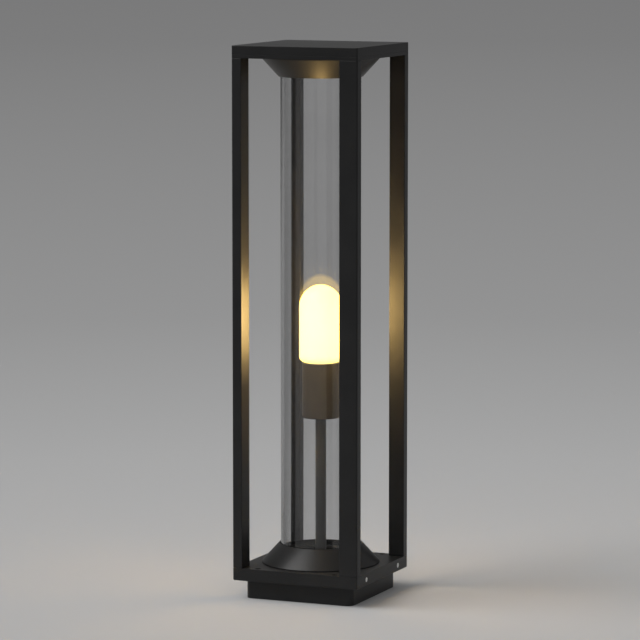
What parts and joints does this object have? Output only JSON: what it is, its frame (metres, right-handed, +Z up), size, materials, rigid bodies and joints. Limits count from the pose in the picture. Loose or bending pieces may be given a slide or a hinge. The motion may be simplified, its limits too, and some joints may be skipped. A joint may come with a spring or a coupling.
{
  "type": "lantern floor lamp",
  "caption": "Upright lantern floor lamp: a black flat-bar cage on a square plinth, with a clear glass tube between cone collars and an opal screw-in lamp on a slim stem.",
  "frame": {"origin": "centre of the plinth's underside, on the ground", "axes": "+Z up along the tube; -Y is the front, the wider side in view; +X is the right side"},
  "size_m": [0.15, 0.15, 0.617],
  "materials": {
    "black_paint": "semi-gloss black coat",
    "clear_glass": "clear, faintly grey",
    "opal_glass": "opal white",
    "silicone": "matt",
    "steel": "bright",
    "dark_steel": "blackened",
    "holder_plastic": "matt black",
    "ceramic": "glazed white",
    "brass": "plain",
    "cap_metal": "satin",
    "cap_insulator": "glossy black",
    "block_plastic": "natural white",
    "gland_plastic": "matt black"
  },
  "bodies": {
    "cage": {"bottom_rail_back": "black_paint", "bottom_rail_front": "black_paint", "bottom_rail_left": "black_paint", "bottom_rail_right": "black_paint", "cable_gland": "gland_plastic", "ceiling_plate": "black_paint", "centre_contact": "brass", "cover_screws": "dark_steel", "deck_plate": "black_paint", "deck_screws": "dark_steel", "frame_screws": "steel", "glass_tube": "clear_glass", "holder_insert": "ceramic", "holder_shell": "holder_plastic", "lower_collar": "black_paint", "lower_gasket": "silicone", "plinth": "black_paint", "post_back_left": "black_paint", "post_back_right": "black_paint", "post_front_left": "black_paint", "post_front_right": "black_paint", "stem": "black_paint", "stem_nuts": "dark_steel", "terminal_block": "block_plastic", "thread_shell": "brass", "top_cover": "black_paint", "upper_collar": "black_paint", "upper_gasket": "silicone"},
    "lamp": {"lamp_envelope": "opal_glass", "lamp_cap": "cap_metal", "lamp_tip": "cap_insulator"}
  },
  "joints": [
    {"name": "lamp_screw", "type": "hinge", "parent": "cage", "child": "lamp", "pos_m": [0, 0, 0.2623], "axis": [0, 0, 1], "range_deg": [0, 1440]}
  ]
}
